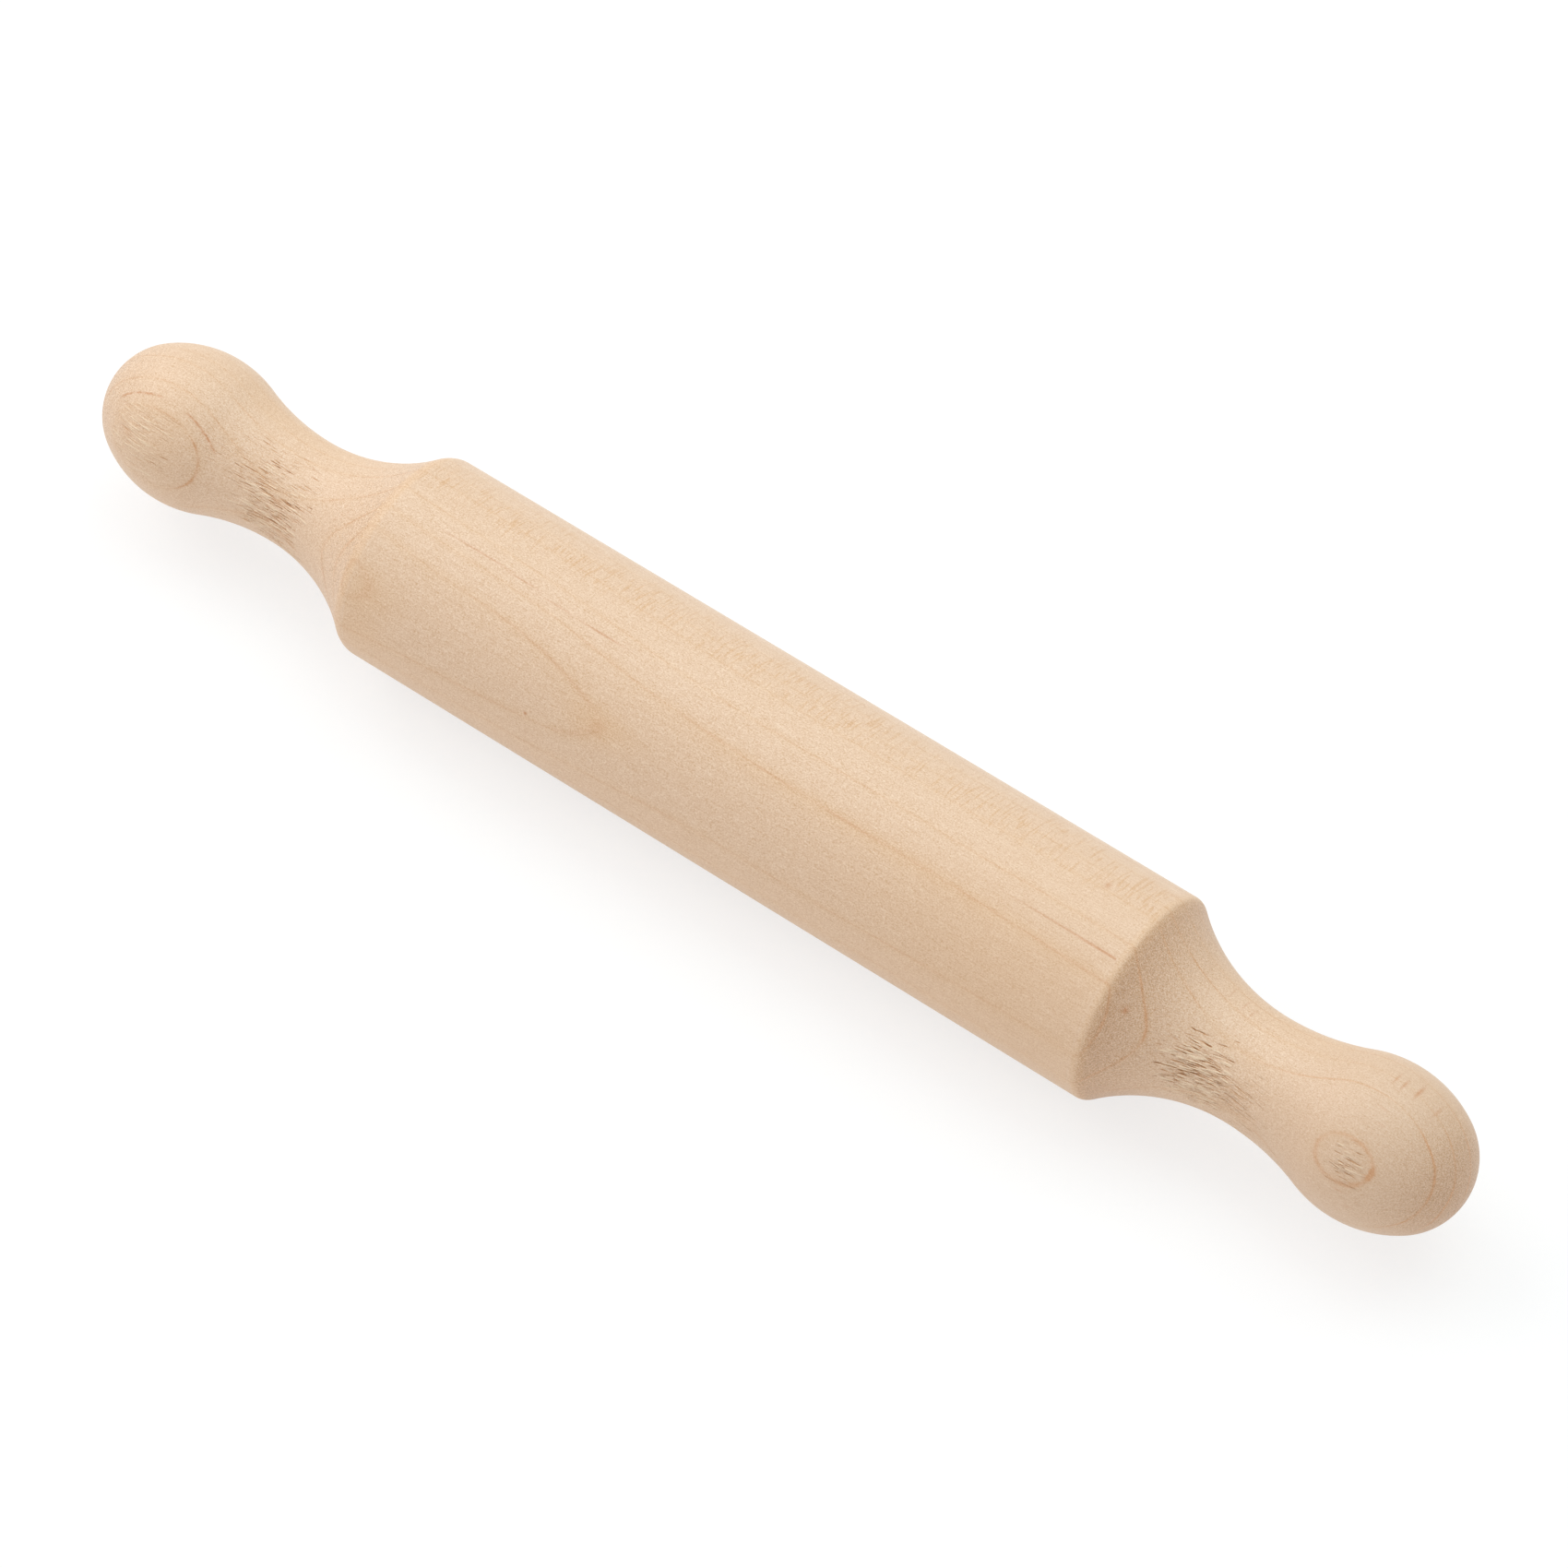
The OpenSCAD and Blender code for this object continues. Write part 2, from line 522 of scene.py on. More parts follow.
# Heights towards the bark of two growth layers, at places along the pin.
# They rise and spread towards the right end, because the grain isn't quite straight.
INNER_LAYER = 5.0
INNER_HEIGHTS = [
    (-110, 3.4), (-97, 3.5), (-80, 3.95), (-66, 4.3), (-55, 4.75), (-30, 5.8), (-10, 6.95), (20, 7.2),
    (57, 6.9), (78, 6.8), (110, 6.65),
]
OUTER_LAYER = 11.3
OUTER_HEIGHTS = [
    (-110, 9.6), (-97, 9.75), (-80, 9.8), (-66, 10.45), (-55, 11.2), (-30, 12.2), (-10, 13.35),
    (20, 13.7), (57, 13.95), (97, 13.6), (110, 13.4),
]
# The heights that the curves can reach
HEIGHT_RANGE = (0, 20)

# How far the layers turn about the pin at places along it, in degrees
LAYER_TURNS = [
    (-110, -8.5), (-97, -7.5), (-80, -6), (-66, -4), (-55, -1.6), (-30, -0.8), (0, 0), (57, 1), (110, 1),
]
# The turns that the curve can reach
TURN_RANGE = (-10, 10)

# How far the layers bend over long stretches and waver over short ones
LAYER_BEND = 0.5
LAYER_WAVER = 0.10

# How quickly each pattern changes along the grain, towards the bark and to the side, per millimetre
LAYER_BEND_PACE = (0.035, 0.14, 0.14)
LAYER_WAVER_PACE = (0.7, 2.0, 2.0)
SPECKLE_PACE = (4.5, 8.0, 8.0)
STREAK_PACE = (0.35, 6.0, 6.0)
PORE_PACE = (2.4, 5.0, 5.0)
RAY_PACE = (3.6, 0.32, 0.7)
RAY_PATCH_PACE = (0.08, 0.3, 0.3)
LINE_PATCH_PACE = (0.15, 0.4, 0.4)
KNOB_LINE_PATCH_PACE = (1.2, 2.4, 2.4)

# How quickly the honey colour fades away from a growth line
HONEY_FADE = 0.07

# Where the pores' pattern is high enough to be an open pore
PORE_EDGE = Ramp(0.48, 0.72)

# The rays are plates that stand square to this direction, so they show best where the
# surface faces that way. They come and go in patches.
RAY_PLATE_FACE = (0, 0.21, -0.978)
RAY_SHOWN = Ramp(0.93, 0.99, 0.12, 1.0)
RAY_PATCH = Ramp(0.35, 0.6, 0.4, 1.0)
RAY_EDGE = Ramp(0.54, 0.68)


def place_in_billet_group():
    """The place inside the billet, and the way that the surface faces there."""
    tree, _, result = new_group("place_in_billet", {}, {"Place": VECTOR, "Facing": VECTOR})
    coordinates = tree.add("ShaderNodeTexCoord")
    turned = {}
    for name in ("Object", "Normal"):
        turn = tree.add("ShaderNodeVectorRotate", rotation_type="X_AXIS")
        tree.feed(turn.inputs["Vector"], coordinates.outputs[name])
        turn.inputs["Angle"].default_value = math.radians(BARK_LEAN - 90)
        turned[name] = turn.outputs["Vector"]
    scale = tree.add("ShaderNodeVectorMath", operation="SCALE")
    tree.feed(scale.inputs[0], turned["Object"])
    scale.inputs["Scale"].default_value = 1 / MM
    tree.feed(result["Place"], scale.outputs["Vector"])
    tree.feed(result["Facing"], turned["Normal"])
    return tree.tree


def layer_group():
    """A number for the growth layer at a place: it grows towards the bark."""
    tree, given, result = new_group("growth_layer", {"Place": VECTOR}, {"Layer": FLOAT})
    along, bark, side = tree.split(given["Place"])
    turn = tree.math("RADIANS", tree.curve(along, LAYER_TURNS, *TURN_RANGE))
    bark = tree.math("SUBTRACT", bark, tree.math("MULTIPLY", side, turn))
    inner = tree.curve(along, INNER_HEIGHTS, *HEIGHT_RANGE)
    outer = tree.curve(along, OUTER_HEIGHTS, *HEIGHT_RANGE)
    share = tree.math("DIVIDE", tree.math("SUBTRACT", bark, inner), tree.math("SUBTRACT", outer, inner))
    layer = tree.math("MULTIPLY_ADD", share, OUTER_LAYER - INNER_LAYER, INNER_LAYER)
    bend = tree.noise(given["Place"], LAYER_BEND_PACE)
    waver = tree.noise(given["Place"], LAYER_WAVER_PACE)
    layer = tree.math("MULTIPLY_ADD", tree.math("SUBTRACT", bend, 0.5), LAYER_BEND, layer)
    layer = tree.math("MULTIPLY_ADD", tree.math("SUBTRACT", waver, 0.5), LAYER_WAVER, layer)
    tree.feed(result["Layer"], layer)
    return tree.tree


def growth_line_group():
    """The thin dark late wood at one layer, and the honey-coloured wood on either side of it."""
    sockets = {"Layer": FLOAT, "At": FLOAT, "Width": FLOAT}
    tree, given, result = new_group("growth_line", sockets, {"Line": FLOAT, "Honey": FLOAT})
    off = tree.math("DIVIDE", tree.math("SUBTRACT", given["Layer"], given["At"]), given["Width"])
    square = tree.math("MULTIPLY", off, off)
    tree.feed(result["Line"], tree.math("EXPONENT", tree.math("MULTIPLY", square, -1.0)))
    tree.feed(result["Honey"], tree.math("EXPONENT", tree.math("MULTIPLY", square, -HONEY_FADE)))
    return tree.tree


def fibre_group():
    """Fine speckle of cut fibres, as values about 0.

    Grain is a fine even speckle, Streaks are long and thin along the grain,
    and Pits are the open pores that show where the wood is cut across its end.
    """
    outputs = {"Grain": FLOAT, "Streaks": FLOAT, "Pits": FLOAT}
    tree, given, result = new_group("fibres", {"Place": VECTOR}, outputs)
    grain = tree.noise(given["Place"], SPECKLE_PACE, detail=0)
    streaks = tree.noise(given["Place"], STREAK_PACE)
    pits = tree.noise(given["Place"], PORE_PACE, roughness=0.6)
    tree.feed(result["Grain"], tree.math("SUBTRACT", grain, 0.5))
    tree.feed(result["Streaks"], tree.math("SUBTRACT", streaks, 0.5))
    tree.feed(result["Pits"], tree.smooth(pits, PORE_EDGE))
    return tree.tree


def ray_group():
    """The wood's rays: thin plates that show as dashes across the grain."""
    tree, given, result = new_group("rays", {"Place": VECTOR, "Facing": VECTOR}, {"Rays": FLOAT})
    plates = tree.noise(given["Place"], RAY_PACE, detail=0)
    along_plates = tree.math("ABSOLUTE", tree.dot(given["Facing"], RAY_PLATE_FACE))
    patchy = tree.noise(given["Place"], RAY_PATCH_PACE)
    shown = tree.math("MULTIPLY", tree.smooth(along_plates, RAY_SHOWN), tree.smooth(patchy, RAY_PATCH))
    tree.feed(result["Rays"], tree.math("MULTIPLY", tree.smooth(plates, RAY_EDGE), shown))
    return tree.tree


def spot_group():
    """A soft-edged spot of one size about one place."""
    sockets = {"Place": VECTOR, "Centre": VECTOR, "Size": VECTOR}
    tree, given, result = new_group("spot", sockets, {"Spot": FLOAT})
    away = tree.vector("DIVIDE", tree.vector("SUBTRACT", given["Place"], given["Centre"]), given["Size"])
    tree.feed(result["Spot"], tree.math("EXPONENT", tree.math("MULTIPLY", tree.dot(away, away), -1.0)))
    return tree.tree


# Colours of the wood
PALE_WOOD = (0.776, 0.550, 0.381, 1)
HONEY_WOOD = (0.752, 0.508, 0.310, 1)
LATE_WOOD = (0.66, 0.365, 0.195, 1)
RAY_WOOD = (0.70, 0.43, 0.235, 1)
END_WOOD = (0.58, 0.35, 0.208, 1)
PIT_WOOD = (0.42, 0.24, 0.13, 1)
# Torn grain: darker torn wood with painted shade in the slits, deeper painted shade in deep slits, and a
# painted highlight for raised fibres
SLIT_WOOD_AND_SHADE = (0.60, 0.31, 0.13, 1)
DEEP_SLIT_SHADE = (0.38, 0.18, 0.07, 1)
FIBRE_HIGHLIGHT = (0.92, 0.74, 0.53, 1)
SAP_WOOD = (0.56, 0.23, 0.085, 1)
WARM_WOOD_AND_SHADE = (0.76, 0.49, 0.28, 1)
# Painted shade over the knobs, strongest on the right one
KNOB_SHADE_WOOD = (0.685, 0.48, 0.33, 1)

# How much of a colour is mixed in where it is strongest
HONEY_SHARE = 0.3
BURNISH_SHARE = 0.35
RAY_SHARE = 0.65
# The share of its dark end grain that a knob lacks
KNOB_END_LOSS = 0.45

# The strength of the speckle, the streaks and the open pores, and what end grain adds to it
SPECKLE = 0.48
END_SPECKLE = 0.64
STREAKS = 0.18
PORES = 0.04
END_PORES = 0.85

# Relief of the cut fibres: its depth, and the height of the streaks in it beside the speckle's
FIBRE_DEPTH = 0.02
STREAK_HEIGHT = 0.6

# How squarely a surface has to cut the grain before it shows as end grain
END_GRAIN = Ramp(0.2, 1.0)

# Distances from the pin's middle: where the handles and their knobs begin, and the band
# round each shoulder that the turning burnished
ON_HANDLE = Ramp(57, 63)
ON_KNOB = Ramp(78, 90)
BURNISH_START = Ramp(58.8, 59.6)
BURNISH_END = Ramp(61.4, 60.4)

# How much calmer the speckle gets towards the right end of the barrel
CALM_END = Ramp(15, 55, 0.0, 0.28)

# How the torn grain is coloured, from where a slit or a fibre begins to show to where it is fully seen:
# darker torn wood with painted shade in the slits, more painted shade in the deep ones, and a painted
# highlight on the raised fibres
SLIT_SHADING = Ramp(-0.01, -0.08, 0.0, 0.75)
DEEP_SLIT_SHADING = Ramp(-0.08, -0.16, 0.0, 0.7)
FIBRE_HIGHLIGHT_RAMP = Ramp(0.01, 0.06, 0.0, 0.6)

# How much the fine speckle takes from red, green and blue: darker specks are oranger
SPECKLE_TINT = (0.85, 1.4, 2.1)

# Growth lines: the layer, and how dark the line is
GROWTH_LINES = [
    (15.05, 0.22),
    (13.25, 0.28),
    (11.3, 0.28),
    (8.6, 0.26),
    (5.0, 0.24),
    (2.5, 0.20),
    (-0.4, 0.22),
    (-3.3, 0.24),
    (-6.4, 0.24),
    (-8.7, 0.26),
    (-11.6, 0.22),
    (-13.6, 0.22),
]
# Half the thickness of a line where the wood is cut along the grain, and across it
LINE_WIDTH = 0.08
END_LINE_WIDTH = 0.15
# Lines come and go a little along their way
LINE_PATCH = Ramp(0.3, 0.65, 0.35, 1.2)

Mark = namedtuple("Mark", "along around radius half_length half_width dark")

# Short dark streaks and specks in the wood: where they are, their size and how dark they are
BARREL_MARKS = [
    Mark(-45.0, -8.3, 15, 5.0, 0.14, 0.45),
    Mark(-37.5, -9.6, 15, 2.5, 0.12, 0.45),
    Mark(-31.5, -11.5, 15, 2.5, 0.12, 0.35),
    Mark(-24.0, -12.1, 15, 3.2, 0.14, 0.60),
    Mark(49.5, -18.7, 15, 6.0, 0.13, 0.40),
    Mark(57.2, -18.9, 15, 4.5, 0.17, 0.65),
    Mark(-28.7, -69.5, 15, 0.25, 0.22, 0.9),
    Mark(51.8, 14.0, 15, 0.35, 0.60, 0.5),
]
LEFT_MARKS = [
    Mark(-67.6, -37.0, 9.7, 0.35, 0.16, 0.45),
    Mark(-66.8, -33.5, 10.2, 0.35, 0.16, 0.45),
    Mark(-66.0, -28.5, 10.5, 0.35, 0.16, 0.45),
    Mark(-65.2, -25.0, 10.9, 0.45, 0.16, 0.45),
]
RIGHT_MARKS = [
    Mark(62.8, -39.5, 12.7, 0.35, 0.45, 0.7),
    Mark(71.6, 24.0, 8.6, 0.14, 0.9, 0.25),
    Mark(73.9, 21.0, 8.1, 0.14, 1.1, 0.35),
    Mark(75.3, 17.0, 8.0, 0.14, 1.0, 0.30),
    Mark(96.3, 18.0, 11.1, 0.16, 1.2, 0.45),
    Mark(97.6, 17.0, 11.1, 0.16, 1.2, 0.50),
    Mark(99.6, 20.0, 10.8, 0.26, 1.3, 0.60),
    Mark(102.8, 18.0, 9.9, 0.20, 1.2, 0.35),
    Mark(97.8, -8.0, 11.1, 0.9, 0.14, 0.35),
    Mark(99.2, -18.0, 11.0, 1.2, 0.14, 0.30),
    Mark(97.4, -73.0, 11.1, 0.9, 0.14, 0.35),
    Mark(99.4, -84.0, 10.9, 1.1, 0.14, 0.35),
]

# Soft patches of yellower wood, and painted shade: a warm strip along the barrel's underside and one
# along each handle's top edge
BARREL_WARM_AND_SHADE = [
    Mark(-18.5, -53.0, 15, 5.0, 2.2, 0.45),
    Mark(-57.0, -57.0, 15, 4.5, 3.0, 0.2),
    Mark(-57.0, -80.0, 15, 5.5, 5.5, 0.4),
    # Painted shade: a warmer, darker strip along the whole underside of the barrel
    Mark(0.0, -102.0, 14, 90.0, 4.5, 0.25),
    Mark(45.0, -62.0, 14, 22.0, 11.0, 0.32),
    Mark(20.0, -31.0, 15, 32.0, 1.4, 0.25),
]
LEFT_WARM_AND_SHADE = [
    Mark(-97.0, -45.0, 10.5, 6.0, 8.0, 0.25),
    # Painted shade: a warmer, darker strip along the handle's top edge, against the pale sheen there
    Mark(-85.0, 40.0, 8.5, 30.0, 3.0, 0.4),
]
RIGHT_TOP_EDGE_SHADE = [
    # Painted shade: a warmer, darker strip along the handle's top edge, against the pale sheen there
    Mark(88.0, 42.0, 8.5, 30.0, 3.0, 0.4),
]

# Places where the growth lines fade out, or come out stronger where the last number is negative
BARREL_QUIET = [
    Mark(-46.0, -29.0, 15, 11.0, 2.6, 0.45),
    Mark(-49.0, -14.0, 15, 13.0, 2.2, 0.40),
    Mark(22.0, -29.0, 15, 32.0, 2.4, -0.6),
]
LEFT_QUIET = [
    Mark(-102.5, -62.0, 9.0, 4.0, 6.0, 0.9),
    Mark(-95.0, -92.0, 10.5, 5.0, 3.5, 0.9),
    Mark(-90.4, -62.0, 9.7, 1.6, 3.6, -2.2),
    Mark(-74.5, -41.0, 7.9, 7.0, 3.6, 0.9),
]
RIGHT_QUIET = [
    Mark(78.0, -21.5, 7.9, 6.0, 3.0, 0.65),
    Mark(101.0, -54.0, 10.0, 1.2, 3.6, -2.0),
    Mark(103.0, -13.0, 9.4, 5.5, 2.8, -1.4),
    Mark(107.5, -55.0, 6.6, 1.8, 5.0, -1.4),
    Mark(66.0, -2.0, 10.6, 4.0, 5.0, -0.5),
    Mark(65.8, -52.0, 10.8, 1.8, 6.0, -0.8),
    Mark(73.0, -16.0, 8.3, 3.5, 2.4, 0.8),
    Mark(90.0, 12.0, 8.8, 9.0, 3.0, 0.5),
    Mark(69.0, -96.0, 9.2, 5.0, 3.5, 0.8),
]

# A line of redder wood that shows in two stretches on the left knob only
KNOB_LAYER = 10.25
KNOB_LINE_WIDTH = 0.10
# It fades out at the ends of its stretches, and comes and goes along them
KNOB_LINE_ENDS = Ramp(0.1, 0.4, 0.0, 0.75)
KNOB_LINE_PATCH = Ramp(0.3, 0.6, 0.25, 1.0)
KNOB_LINE_STRETCHES = [
    Mark(-101.4, -27.5, 10.4, 3.0, 3.0, 1),
    Mark(-90.6, -31.5, 10.0, 2.6, 3.0, 1),
]


def in_billet(mark):
    """The centre of a mark as a place in the billet."""
    turn = math.radians(mark.around - BARK_LEAN)
    return (mark.along, mark.radius * math.cos(turn), -mark.radius * math.sin(turn))


def make_groups():
    """The node groups that the three pieces share."""
    return {
        "billet": place_in_billet_group(),
        "layer": layer_group(),
        "line": growth_line_group(),
        "fibres": fibre_group(),
        "rays": ray_group(),
        "spot": spot_group(),
    }


# How the wood of one piece differs: how dark its end grain and its knob are, which is partly
# painted shade on the right handle and painted light on the left one, how much calmer
# the speckle is on its knob, how much stronger its growth lines are, whether it has the redder
# line, and its own marks, warm patches with painted shade among them, and quiet places
Finish = namedtuple("Finish", "name end_shade knob_shade knob_calm line_gain knob_line marks warm quiet")
BARREL_FINISH = Finish(
    name="barrel_wood", end_shade=1, knob_shade=0, knob_calm=0, line_gain=0, knob_line=False,
    marks=BARREL_MARKS, warm=BARREL_WARM_AND_SHADE, quiet=BARREL_QUIET,
)
# The left handle's end grain and knob stay nearly as pale as the barrel: painted light on the side that
# faces the lamp
LEFT_FINISH = Finish(
    name="left_handle_wood", end_shade=0.1, knob_shade=0.1, knob_calm=0, line_gain=0.7, knob_line=True,
    marks=LEFT_MARKS, warm=LEFT_WARM_AND_SHADE, quiet=LEFT_QUIET,
)
# The right handle's darker end grain and knob are the end grain's own colour and painted shade
RIGHT_FINISH = Finish(
    name="right_handle_wood", end_shade=1, knob_shade=0.5, knob_calm=0.3, line_gain=1.3, knob_line=False,
    marks=RIGHT_MARKS, warm=RIGHT_TOP_EDGE_SHADE, quiet=RIGHT_QUIET,
)

# A point on the surface: where it is in the billet, which way it faces, its growth layer,
# how far it is along the pin, and how much it counts as end grain, handle and knob
Point = namedtuple("Point", "where facing layer along from_middle end_grain on_handle on_knob")


def surface_point(tree, groups):
    """All that the steps of the colour need to know about a point."""
    billet = tree.use(groups["billet"])
    where, facing = billet["Place"], billet["Facing"]
    layer = tree.use(groups["layer"], Place=where)["Layer"]
    end_on, _, _ = tree.split(facing)
    end_grain = tree.smooth(tree.math("ABSOLUTE", end_on), END_GRAIN)
    along, _, _ = tree.split(where)
    from_middle = tree.math("ABSOLUTE", along)
    on_handle = tree.smooth(from_middle, ON_HANDLE)
    on_knob = tree.smooth(from_middle, ON_KNOB)
    return Point(where, facing, layer, along, from_middle, end_grain, on_handle, on_knob)


def spot_at(tree, groups, where, mark):
    """The soft spot of one mark, from 0 to 1."""
    size = (mark.half_length, mark.half_width, mark.half_width)
    return tree.use(groups["spot"], Place=where, Centre=in_billet(mark), Size=size)["Spot"]


def add_spots(tree, groups, where, marks, colour, wood):
    """Mixes another wood into the colour at each mark."""
    for mark in marks:
        share = tree.math("MULTIPLY", spot_at(tree, groups, where, mark), mark.dark)
        colour = tree.mix(share, colour, wood)
    return colour


def growth_lines(tree, groups, point, finish):
    """How strongly the thin dark lines show, and the honey-coloured wood beside them."""
    lines = 0.0
    honey = 0.0
    width = tree.math("MULTIPLY_ADD", point.end_grain, END_LINE_WIDTH - LINE_WIDTH, LINE_WIDTH)
    for at, dark in GROWTH_LINES:
        line = tree.use(groups["line"], Layer=point.layer, At=at, Width=width)
        lines = tree.math("MULTIPLY_ADD", line["Line"], dark, lines)
        honey = tree.math("MAXIMUM", line["Honey"], honey)
    patchy = tree.noise(point.where, LINE_PATCH_PACE)
    lines = tree.math("MULTIPLY", lines, tree.smooth(patchy, LINE_PATCH))
    for mark in finish.quiet:
        spot = spot_at(tree, groups, point.where, mark)
        lines = tree.math("MULTIPLY", lines, tree.math("MULTIPLY_ADD", spot, -mark.dark, 1.0))
    gain = tree.math("MULTIPLY", point.on_handle, tree.math("ADD", point.end_grain, finish.line_gain))
    lines = tree.math("MULTIPLY", lines, tree.math("ADD", gain, 1.0))
    return lines, honey


def knob_line(tree, groups, point):
    """The redder line of the left knob, in its two stretches."""
    line = tree.use(groups["line"], Layer=point.layer, At=KNOB_LAYER, Width=KNOB_LINE_WIDTH)["Line"]
    shown = 0.0
    for stretch in KNOB_LINE_STRETCHES:
        shown = tree.math("ADD", spot_at(tree, groups, point.where, stretch), shown)
    patchy = tree.noise(point.where, KNOB_LINE_PATCH_PACE)
    line = tree.math("MULTIPLY", line, tree.smooth(patchy, KNOB_LINE_PATCH))
    return tree.math("MULTIPLY", line, tree.smooth(shown, KNOB_LINE_ENDS))


def bare_colour(tree, groups, point, finish, honey):
    """The colour between the lines: honey-coloured and warm patches, painted shade on the knobs and in
    some of the patches, and darker end grain.
    """
    colour = tree.mix(tree.math("MULTIPLY", honey, HONEY_SHARE), PALE_WOOD, HONEY_WOOD)
    # Painted shade over the knob, by the finish's knob share
    colour = tree.mix(tree.math("MULTIPLY", point.on_knob, finish.knob_shade), colour, KNOB_SHADE_WOOD)
    # Yellower patches, some of them painted shade along the barrel's underside and the handles' top
    # edges
    colour = add_spots(tree, groups, point.where, finish.warm, colour, WARM_WOOD_AND_SHADE)
    loss = -KNOB_END_LOSS * finish.end_shade
    end_shade = tree.math("MULTIPLY_ADD", point.on_knob, loss, finish.end_shade)
    colour = tree.mix(tree.math("MULTIPLY", point.end_grain, end_shade), colour, END_WOOD)
    band_start = tree.smooth(point.from_middle, BURNISH_START)
    burnish = tree.math("MULTIPLY", band_start, tree.smooth(point.from_middle, BURNISH_END))
    return tree.mix(tree.math("MULTIPLY", burnish, BURNISH_SHARE), colour, WARM_WOOD_AND_SHADE)


def add_figure(tree, groups, point, finish, lines, colour):
    """Growth lines, rays and the piece's own marks over the bare colour."""
    colour = tree.mix(lines, colour, LATE_WOOD)
    rays = tree.use(groups["rays"], Place=point.where, Facing=point.facing)["Rays"]
    rays = tree.math("MULTIPLY", rays, tree.math("SUBTRACT", 1.0, point.on_handle))
    colour = tree.mix(tree.math("MULTIPLY", rays, RAY_SHARE), colour, RAY_WOOD)
    if finish.knob_line:
        colour = tree.mix(knob_line(tree, groups, point), colour, SAP_WOOD)
    return add_spots(tree, groups, point.where, finish.marks, colour, SAP_WOOD)


def speckle_kept(tree, point, finish):
    """The share of the speckle that is left, calmer at the barrel's right end and on a calm knob."""
    on_barrel = tree.math("SUBTRACT", 1.0, point.on_handle)
    calm = tree.math("MULTIPLY", tree.smooth(point.along, CALM_END), on_barrel)
    calm = tree.math("ADD", calm, tree.math("MULTIPLY", point.on_knob, finish.knob_calm))
    return tree.math("SUBTRACT", 1.0, calm)


def add_fibres(tree, point, fibres, kept, colour):
    """Speckle, streaks and open pores over the colour. Also gives the pores, for the relief."""
    strength = tree.math("MULTIPLY_ADD", point.end_grain, END_SPECKLE, SPECKLE)
    speckle = tree.math("MULTIPLY", tree.math("MULTIPLY", fibres["Grain"], strength), kept)
    speckle = tree.math("MULTIPLY_ADD", fibres["Streaks"], STREAKS, speckle)
    tone = tree.vector("MULTIPLY_ADD", speckle, SPECKLE_TINT, (1, 1, 1))
    colour = tree.vector("MULTIPLY", colour, tone)
    strength = tree.math("MULTIPLY_ADD", point.end_grain, END_PORES, PORES)
    pits = tree.math("MULTIPLY", tree.math("MULTIPLY", fibres["Pits"], strength), kept)
    return tree.mix(pits, colour, PIT_WOOD), pits


def add_torn_colour_and_shade(tree, colour):
    """Darker torn wood and painted shade inside the slits, deeper painted shade in the deep slits, and a
    painted highlight on the raised fibres.
    """
    rise = tree.add("ShaderNodeAttribute", attribute_name="rise").outputs["Fac"]
    colour = tree.mix(tree.smooth(rise, SLIT_SHADING), colour, SLIT_WOOD_AND_SHADE)
    colour = tree.mix(tree.smooth(rise, DEEP_SLIT_SHADING), colour, DEEP_SLIT_SHADE)
    return tree.mix(tree.smooth(rise, FIBRE_HIGHLIGHT_RAMP), colour, FIBRE_HIGHLIGHT)


def fibre_relief(tree, fibres, pits):
    """The surface's normal over the cut fibres and the open pores."""
    height = tree.math("MULTIPLY_ADD", fibres["Streaks"], STREAK_HEIGHT, fibres["Grain"])
    bump = tree.add("ShaderNodeBump")
    bump.inputs["Strength"].default_value = 1.0
    bump.inputs["Distance"].default_value = FIBRE_DEPTH * MM
    tree.feed(bump.inputs["Height"], tree.math("SUBTRACT", height, pits))
    return bump.outputs["Normal"]


def new_material(name):
    """A material with an empty node tree."""
    material = bpy.data.materials.new(name)
    material.use_nodes = True
    material.node_tree.nodes.clear()
    return material, Tree(material.node_tree)


def wood_material(finish, groups):
    """The wood of one piece. The figure runs through all three, and the finish is the piece's own."""
    material, tree = new_material(finish.name)
    point = surface_point(tree, groups)
    fibres = tree.use(groups["fibres"], Place=point.where)
    lines, honey = growth_lines(tree, groups, point, finish)
    colour = bare_colour(tree, groups, point, finish, honey)
    colour = add_figure(tree, groups, point, finish, lines, colour)
    kept = speckle_kept(tree, point, finish)
    colour, pits = add_fibres(tree, point, fibres, kept, colour)
    shader = tree.add("ShaderNodeBsdfPrincipled")
    tree.feed(shader.inputs["Base Color"], add_torn_colour_and_shade(tree, colour))
    shader.inputs["Roughness"].default_value = 0.5
    shader.inputs["IOR"].default_value = 1.5
    shader.inputs["Sheen Weight"].default_value = 0.12
    shader.inputs["Sheen Roughness"].default_value = 0.5
    tree.feed(shader.inputs["Normal"], fibre_relief(tree, fibres, pits))
    output = tree.add("ShaderNodeOutputMaterial")
    tree.feed(output.inputs["Surface"], shader.outputs["BSDF"])
    return material


# The studio, in metres

FLOOR_REACH = 3.0
# The floor's colour for the light that it throws back, and its colour and glow where it is seen
FLOOR_BOUNCE = (0.95, 0.92, 0.89, 1)
FLOOR_SEEN = (0.3, 0.3, 0.3, 1)
FLOOR_GLOW = 0.72

# The light tent's strength as a light, and its brightness where it is seen
TENT_LIGHT = Ramp(0, 1, 0.78, 1.0)

LAMP_DISTANCE = 1.5
LAMP_SIZE = 1.2
WHITE = (1, 1, 1)
COOL_WHITE = (0.83, 1.0, 1.0)

# The lens and the sensor's width in millimetres
LENS = 157.4
SENSOR = 36
CAMERA_AT = (0.3112, -0.4164, 0.735)
CAMERA_AIM = (0.00315, 0, 0)


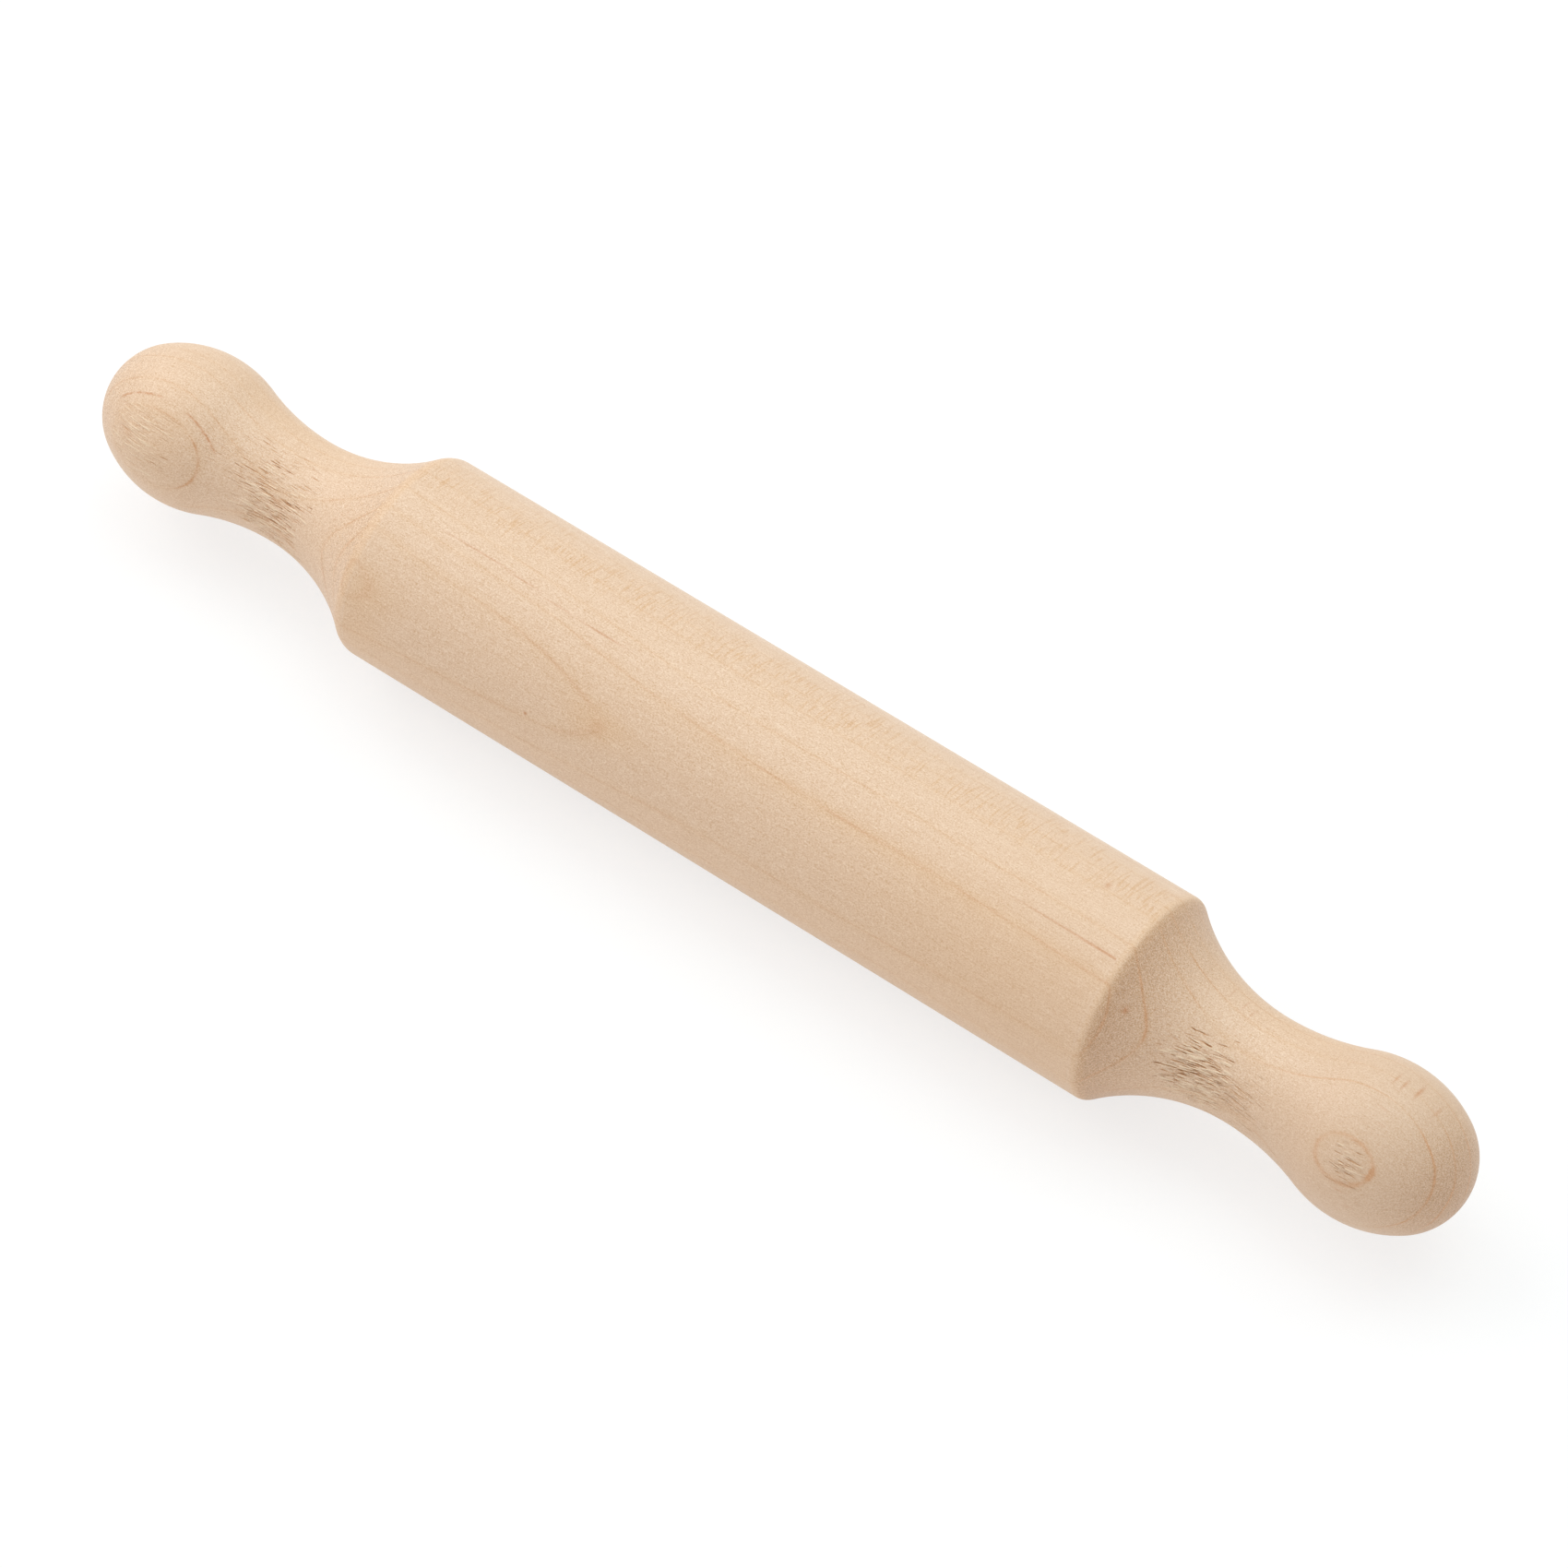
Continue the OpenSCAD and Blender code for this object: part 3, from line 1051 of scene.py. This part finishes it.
def seen_directly(tree):
    """1 for rays that show the background in the picture, a mirror or glass, and 0 for its light."""
    path = tree.add("ShaderNodeLightPath").outputs
    seen = tree.math("ADD", path["Is Camera Ray"], path["Is Glossy Ray"])
    return tree.math("MINIMUM", tree.math("ADD", seen, path["Is Transmission Ray"]), 1.0)


def floor_material():
    """Pale matt floor that shows as white where it is lit, and keeps a soft shadow."""
    material, tree = new_material("pale_floor")
    matt = tree.add("ShaderNodeBsdfDiffuse")
    matt.inputs["Color"].default_value = FLOOR_BOUNCE
    faint = tree.add("ShaderNodeBsdfDiffuse")
    faint.inputs["Color"].default_value = FLOOR_SEEN
    glow = tree.add("ShaderNodeEmission")
    glow.inputs["Strength"].default_value = FLOOR_GLOW
    both = tree.add("ShaderNodeAddShader")
    tree.feed(both.inputs[0], faint.outputs["BSDF"])
    tree.feed(both.inputs[1], glow.outputs["Emission"])
    choice = tree.add("ShaderNodeMixShader")
    tree.feed(choice.inputs["Fac"], seen_directly(tree))
    tree.feed(choice.inputs[1], matt.outputs["BSDF"])
    tree.feed(choice.inputs[2], both.outputs["Shader"])
    output = tree.add("ShaderNodeOutputMaterial")
    tree.feed(output.inputs["Surface"], choice.outputs["Shader"])
    return material


def make_floor():
    """A plain floor under the barrel."""
    barrel_r, _ = barrel_size()
    mesh = bpy.data.meshes.new("floor")
    corners = [(-1, -1), (1, -1), (1, 1), (-1, 1)]
    points = [(x * FLOOR_REACH, y * FLOOR_REACH, -barrel_r * MM) for x, y in corners]
    mesh.from_pydata(points, [], [(0, 1, 2, 3)])
    floor = bpy.data.objects.new("floor", mesh)
    bpy.context.scene.collection.objects.link(floor)
    mesh.materials.append(floor_material())


def light_room():
    """Even white light from all around, as in a light tent."""
    world = bpy.data.worlds.new("light_tent")
    world.use_nodes = True
    world.node_tree.nodes.clear()
    tree = Tree(world.node_tree)
    background = tree.add("ShaderNodeBackground")
    tree.feed(background.inputs["Strength"], tree.smooth(seen_directly(tree), TENT_LIGHT))
    output = tree.add("ShaderNodeOutputWorld")
    tree.feed(output.inputs["Surface"], background.outputs["Background"])
    bpy.context.scene.world = world


def add_lamp(name, direction, power, colour):
    """A square soft box that looks at the pin from one direction."""
    lamp = bpy.data.lights.new(name, "AREA")
    lamp.size = LAMP_SIZE
    lamp.energy = power
    lamp.color = colour
    holder = bpy.data.objects.new(name, lamp)
    holder.location = Vector(direction).normalized() * LAMP_DISTANCE
    holder.rotation_euler = (-holder.location).to_track_quat("-Z", "Y").to_euler()
    bpy.context.scene.collection.objects.link(holder)


def add_camera():
    """The camera of the picture: a long lens, above the pin and to the right."""
    eye = bpy.data.cameras.new("camera")
    eye.lens = LENS
    eye.sensor_width = SENSOR
    holder = bpy.data.objects.new("camera", eye)
    holder.location = CAMERA_AT
    holder.rotation_euler = (Vector(CAMERA_AIM) - holder.location).to_track_quat("-Z", "Y").to_euler()
    bpy.context.scene.collection.objects.link(holder)
    bpy.context.scene.camera = holder


def make_pin():
    """The three pieces, each with its own wood."""
    groups = make_groups()
    pieces = [
        (make_barrel(), "barrel", BARREL_FINISH),
        (make_handle(LEFT_HANDLE), "left_handle", LEFT_FINISH),
        (make_handle(RIGHT_HANDLE), "right_handle", RIGHT_FINISH),
    ]
    for mesh, node, finish in pieces:
        piece = place(mesh, node)
        piece.data.materials.append(wood_material(finish, groups))


def main():
    make_pin()
    make_floor()
    light_room()
    add_lamp("left_soft_box", (-0.7, 0.0, 0.7), 9, WHITE)
    add_lamp("top_soft_box", (0.0, 0.4, 0.9), 7, COOL_WHITE)
    add_camera()
    bpy.context.scene.view_settings.view_transform = "Standard"


main()
